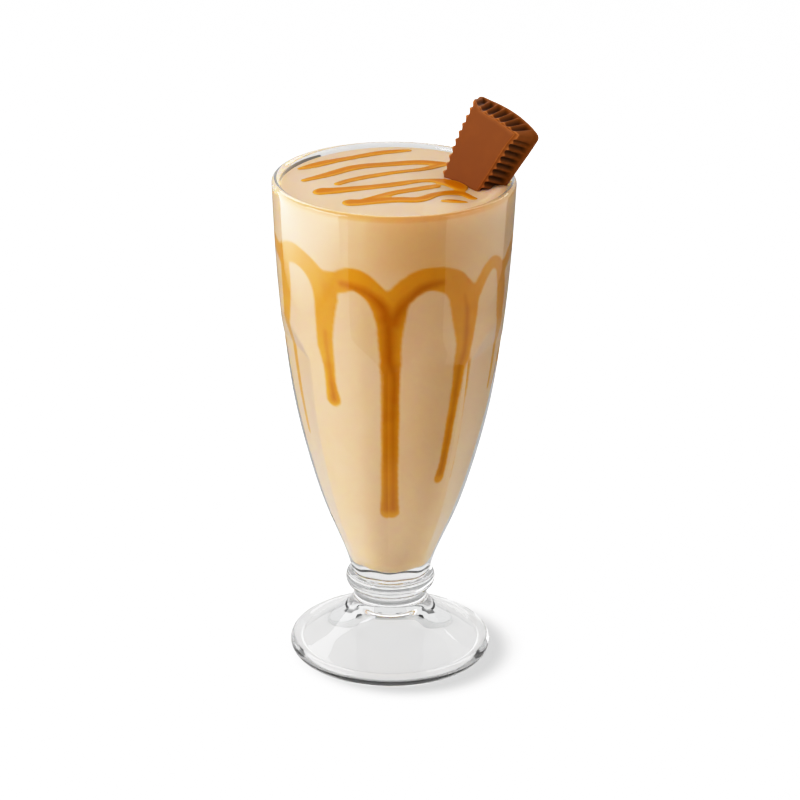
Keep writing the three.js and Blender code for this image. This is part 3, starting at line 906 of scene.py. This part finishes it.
def piece_outline(layer, sizes):
    """Points of one layer of the chocolate, up its left side, over its top and down its right side."""
    depth, side_reach, top_reach, left_flutes, right_flutes, top_flutes, softness, inset, rub = layer
    foot = -sizes.piece_length / MM
    span = np.linspace(0, 1, TOP_POINTS, endpoint=False)

    def corner(side):
        (up, across), (high, wide) = [(sides[side][0][-1], sides[side][1][-1]) for sides in (FACE_SIDES, SLAB_SIDES)]
        return across + side_reach * (wide - across), up + top_reach * (high - up)

    def up_side(side, heights):
        face, slab = [np.interp(heights, *sides[side]) for sides in (FACE_SIDES, SLAB_SIDES)]
        return np.stack([face + side_reach * (slab - face), heights], axis=1)

    def over_top(places, heights):
        return np.interp(places[0] + (places[-1] - places[0]) * span, places, heights)

    left, left_top = corner("left")
    right, right_top = corner("right")
    left_side = up_side("left", foot + (left_top - foot) * np.linspace(0, 1, SIDE_POINTS, endpoint=False))
    right_side = up_side("right", right_top + (foot - right_top) * np.linspace(0, 1, SIDE_POINTS))
    # The top runs between the corners, whose own reach differs from the slab's
    face_top = over_top(*FACE_SIDES["top"])
    slab_top = over_top(*SLAB_SIDES["top"])
    top = np.stack([left + (right - left) * span, face_top + top_reach * (slab_top - face_top)], axis=1)
    path = np.concatenate([left_side, top, right_side])

    # Round the corners by averaging along the path
    steps = np.arange(1, softness + 1)[:, None]
    head = path[0] + (path[0] - path[1]) * steps[::-1]
    tail = path[-1] + (path[-1] - path[-2]) * steps
    padded = np.concatenate([head, path, tail])
    weights = np.hanning(2 * softness + 3)[1:-1]
    weights /= weights.sum()
    path = np.stack([np.convolve(padded[:, i], weights, mode="valid") for i in range(2)], axis=1)

    # Flutes are pressed in square to the path, and stop short of the upper corners
    along = np.gradient(path, axis=0)
    along /= np.linalg.norm(along, axis=1)[:, None]
    inward = np.stack([along[:, 1], -along[:, 0]], axis=1)
    pitch = sizes.flute_pitch / MM
    order = np.arange(len(path))
    on_left = order < SIDE_POINTS
    on_right = order >= SIDE_POINTS + TOP_POINTS
    on_top = ~on_left & ~on_right
    phase = np.empty(len(path))
    phase[on_left] = path[on_left, 1] / (1.12 * pitch)
    phase[on_top] = TOP_FLUTES * span - 0.3
    phase[on_right] = (path[on_right, 1] + 0.8) / pitch
    near = np.empty(len(path))
    near[on_left] = np.clip((-path[on_left, 1] - 0.5) / 2, 0, 1)
    near[on_top] = np.clip((0.93 - span) / 0.05, 0, 1)
    near[on_right] = np.clip((-1.6 - path[on_right, 1]) / 1.2, 0, 1)
    pressed = (0.5 - 0.5 * np.cos(2 * math.pi * phase)) ** 0.85 * near
    # They never go in past the face's own edge
    room = np.full(len(path), 1.5)
    room[on_top] = np.maximum(FLUTE_ROOM * top_reach * (slab_top - face_top), 0)
    room[on_right] = FLUTE_ROOM * side_reach * 5
    shares = np.where(on_left, left_flutes, np.where(on_top, top_flutes, right_flutes))
    path = path + inward * (np.minimum(sizes.flute_depth / MM * shares, room) * pressed)[:, None]
    middle = np.array([0, foot / 2])
    path = middle + (path - middle) * (1 - inset / 10)
    # Ridges are painted paler than the hollows between them: partly rubbing, partly a painted highlight on the
    # ridges and painted shade in the hollows
    worn_and_lit = rub + 0.6 * shares * (0.3 - pressed)

    out = np.cross(PIECE_ACROSS, PIECE_UP)
    place = PIECE_TOP + path[:, :1] * PIECE_ACROSS + path[:, 1:] * PIECE_UP - depth * out
    return place * MM + axis, worn_and_lit


class MILKSHAKE_OT_chocolate(bpy.types.Operator):
    """Makes the fluted chocolate, extruded layer by layer from its back to its face"""

    bl_idname = "milkshake.make_chocolate"
    bl_label = "Chocolate"

    def execute(self, context):
        sizes = context.scene.milkshake_sizes
        count = 2 * SIDE_POINTS + TOP_POINTS
        bpy.ops.object.select_all(action="DESELECT")
        bpy.ops.mesh.primitive_circle_add(vertices=count, radius=10 * MM, fill_type="NGON", location=(0, 0, 0))
        piece = start_piece("fluted_chocolate")
        store(piece, "order", np.arange(count))
        store(piece, "rub", np.zeros(count))
        bpy.ops.object.mode_set(mode="EDIT")
        bpy.ops.mesh.select_all(action="SELECT")
        for number, layer in enumerate(PIECE_LAYERS):
            if number:
                bpy.ops.mesh.extrude_region_move()
            outline, worn_and_lit = piece_outline(layer, sizes)
            shape = bmesh.from_edit_mesh(piece.data)
            order = shape.verts.layers.float["order"]
            rub = shape.verts.layers.float["rub"]
            for vertex in shape.verts:
                if vertex.select:
                    vertex.co = outline[round(vertex[order])]
                    vertex[rub] = worn_and_lit[round(vertex[order])]
            bmesh.update_edit_mesh(piece.data)
        face_outwards()
        piece.data.attributes.remove(piece.data.attributes["order"])
        finish_piece(piece, milk_chocolate(context.scene.milkshake_colours), "chocolate_piece")
        return {"FINISHED"}


class MILKSHAKE_OT_stage(bpy.types.Operator):
    """Sets the pale floor, the lights, the cards and flags round the glass, the room and the camera"""

    bl_idname = "milkshake.make_stage"
    bl_label = "Stage"

    def execute(self, context):
        scene = context.scene
        stage = scene.milkshake_stage
        bpy.ops.object.select_all(action="DESELECT")
        bpy.ops.mesh.primitive_grid_add(x_subdivisions=8, y_subdivisions=8, size=8, location=(0, 0, 0))
        floor = start_piece("floor")
        floor.data.materials.append(matt_floor(scene.milkshake_colours))

        # Softboxes to the left and right, and a soft light over the floor:
        # place, what it faces, length of its sides, power, tint
        lights = (
            ("key_softbox", (-1.1, -0.4, 0.65), (0, 0, 0.1), 0.9, stage.key_power, (0.99, 1, 1.06)),
            ("fill_softbox", (1.1, -0.35, 0.6), (0, 0, 0.1), 0.9, stage.fill_power, (1, 0.98, 0.86)),
            ("overhead", (0, 0.4, 2.2), (0, 0.4, 0), 4, stage.overhead_power, (1, 1, 1)),
        )
        for name, place, faces, side, power, tint in lights:
            bpy.ops.object.light_add(type="AREA", location=place)
            light = context.active_object
            light.name = name
            light.data.shape = "SQUARE"
            light.data.size = side
            light.data.energy = power
            light.data.color = tint
            aim = Vector(faces) - Vector(place)
            light.rotation_euler = aim.to_track_quat("-Z", "Y").to_euler()
        # The overhead light is for the floor: it makes no glare on the glass
        light.visible_glossy = False
        light.visible_transmission = False

        # Glowing cards, painted light that the glass mirrors, and dark flags that line it where it bends the light
        # aside, all out of the camera's sight: lower corners, height of the lower edge over the
        # floor and of the card, glow or None for black cloth, whether it is mirrored
        cards = (
            ("left_card", (-0.3, -0.25), (-0.3, 0.25), 0.001, 0.3, stage.left_card, True),
            ("right_card", (0.3, -0.27), (0.3, 0.24), 0.001, 0.3, stage.right_card, True),
            ("back_card", (-0.6, 0.5), (0.6, 0.5), 0.45, 0.35, stage.back_card, True),
            ("left_flag", (-0.45, -0.3), (-0.45, 0.6), 0.001, 0.5, None, False),
            ("right_flag", (0.45, -0.3), (0.45, 0.6), 0.001, 0.5, None, False),
            ("left_rim_flag", (-0.16, 0.35), (-0.045, 0.35), 0.001, 0.12, 0.16, False),
            ("right_rim_flag", (0.053, 0.35), (0.16, 0.35), 0.001, 0.12, 0.16, False),
            ("low_flag", (-1.5, 0.9), (1.5, 0.9), 0.001, 0.14, None, False),
        )
        velvet = black_velvet()
        for name, start, end, low, height, glow, mirrored in cards:
            card = draw_line(name, [Vector((*start, low)), Vector((*end, low))])
            bpy.ops.mesh.extrude_edges_move(TRANSFORM_OT_translate={"value": (0, 0, height)})
            bpy.ops.object.mode_set(mode="OBJECT")
            hide_from_camera(card, velvet if glow is None else graded_card(name, glow), mirrored)
        # A black cloth on the floor, over a quarter of the way round in front of the foot
        inner = Vector((-0.0335, -0.0372, 0.002))
        flag = draw_line("black_flag", [inner, inner + Vector((-0.67, -0.743, 0))])
        bpy.ops.mesh.spin(steps=24, angle=math.radians(91), center=(0, 0, 0), axis=(0, 0, -1))
        bpy.ops.object.mode_set(mode="OBJECT")
        hide_from_camera(flag, velvet, True)

        scene.world = studio_room(stage)
        scene.view_settings.view_transform = "Standard"
        scene.view_settings.look = "None"
        scene.view_settings.use_curve_mapping = True
        curves = scene.view_settings.curve_mapping
        curves.white_level = (BRIGHTEST, BRIGHTEST, BRIGHTEST)
        tones = curves.curves[3]
        for level, shown in TONES:
            tones.points.new(level / BRIGHTEST, shown)
        curves.update()

        bpy.ops.object.camera_add(location=CAMERA_PLACE)
        camera = context.active_object
        camera.name = "camera"
        tilt = Matrix.Rotation(math.radians(CAMERA_TILT), 3, "X")
        camera.rotation_euler = (tilt @ Matrix.Rotation(math.radians(CAMERA_ROLL), 3, "Z")).to_euler()
        camera.data.lens = CAMERA_LENS
        camera.data.sensor_width = 36
        camera.data.clip_start = 0.05
        camera.data.clip_end = 50
        scene.camera = camera
        return {"FINISHED"}


class MILKSHAKE_PT_pieces(bpy.types.Panel):
    """Lists the milkshake's pieces with their sizes, colours and light"""

    bl_idname = "MILKSHAKE_PT_pieces"
    bl_label = "Milkshake"
    bl_space_type = "VIEW_3D"
    bl_region_type = "UI"
    bl_category = "Milkshake"

    def draw(self, context):
        scene = context.scene
        for operator in OPERATORS:
            self.layout.operator(operator.bl_idname)
        for group in (scene.milkshake_sizes, scene.milkshake_colours, scene.milkshake_stage):
            column = self.layout.column()
            for name in group.__annotations__:
                column.prop(group, name)


GROUPS = (MilkshakeSizes, MilkshakeColours, MilkshakeStage)
OPERATORS = (
    MILKSHAKE_OT_glass,
    MILKSHAKE_OT_drink,
    MILKSHAKE_OT_wall_sauce,
    MILKSHAKE_OT_drizzle,
    MILKSHAKE_OT_chocolate,
    MILKSHAKE_OT_stage,
)


def register():
    for kind in (*GROUPS, *OPERATORS, MILKSHAKE_PT_pieces):
        bpy.utils.register_class(kind)
    bpy.types.Scene.milkshake_sizes = PointerProperty(type=MilkshakeSizes)
    bpy.types.Scene.milkshake_colours = PointerProperty(type=MilkshakeColours)
    bpy.types.Scene.milkshake_stage = PointerProperty(type=MilkshakeStage)


def unregister():
    del bpy.types.Scene.milkshake_stage
    del bpy.types.Scene.milkshake_colours
    del bpy.types.Scene.milkshake_sizes
    for kind in (MILKSHAKE_PT_pieces, *reversed(OPERATORS), *reversed(GROUPS)):
        bpy.utils.unregister_class(kind)


def main():
    register()
    bpy.ops.milkshake.make_glass()
    bpy.ops.milkshake.make_drink()
    bpy.ops.milkshake.make_wall_sauce()
    bpy.ops.milkshake.make_drizzle()
    bpy.ops.milkshake.make_chocolate()
    bpy.ops.milkshake.make_stage()


if __name__ == "__main__":
    main()
